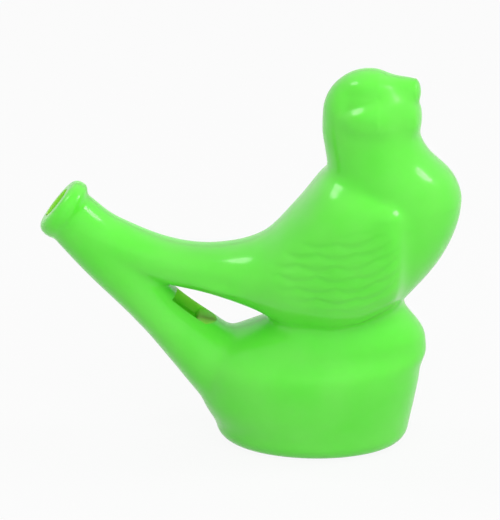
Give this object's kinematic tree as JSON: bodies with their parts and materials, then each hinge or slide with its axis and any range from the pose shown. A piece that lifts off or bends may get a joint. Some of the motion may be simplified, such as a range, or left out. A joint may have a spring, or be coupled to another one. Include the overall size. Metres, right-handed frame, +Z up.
{
  "type": "bird whistle",
  "caption": "Hollow bird-shaped water whistle on an oval base, with a mouthpiece behind, a tail above and a blowing leg below it, in glossy green plastic.",
  "frame": {"origin": "on the plane of the foot, under the middle of the whole object", "axes": "+X the way the beak points, +Y to the bird's left, +Z up"},
  "size_m": [0.0746, 0.0286, 0.0695],
  "materials": {
    "green_plastic": "glossy translucent"
  },
  "bodies": {
    "root": {"right_shell": "green_plastic", "left_shell": "green_plastic", "windway_block": "green_plastic"}
  },
  "joints": []
}
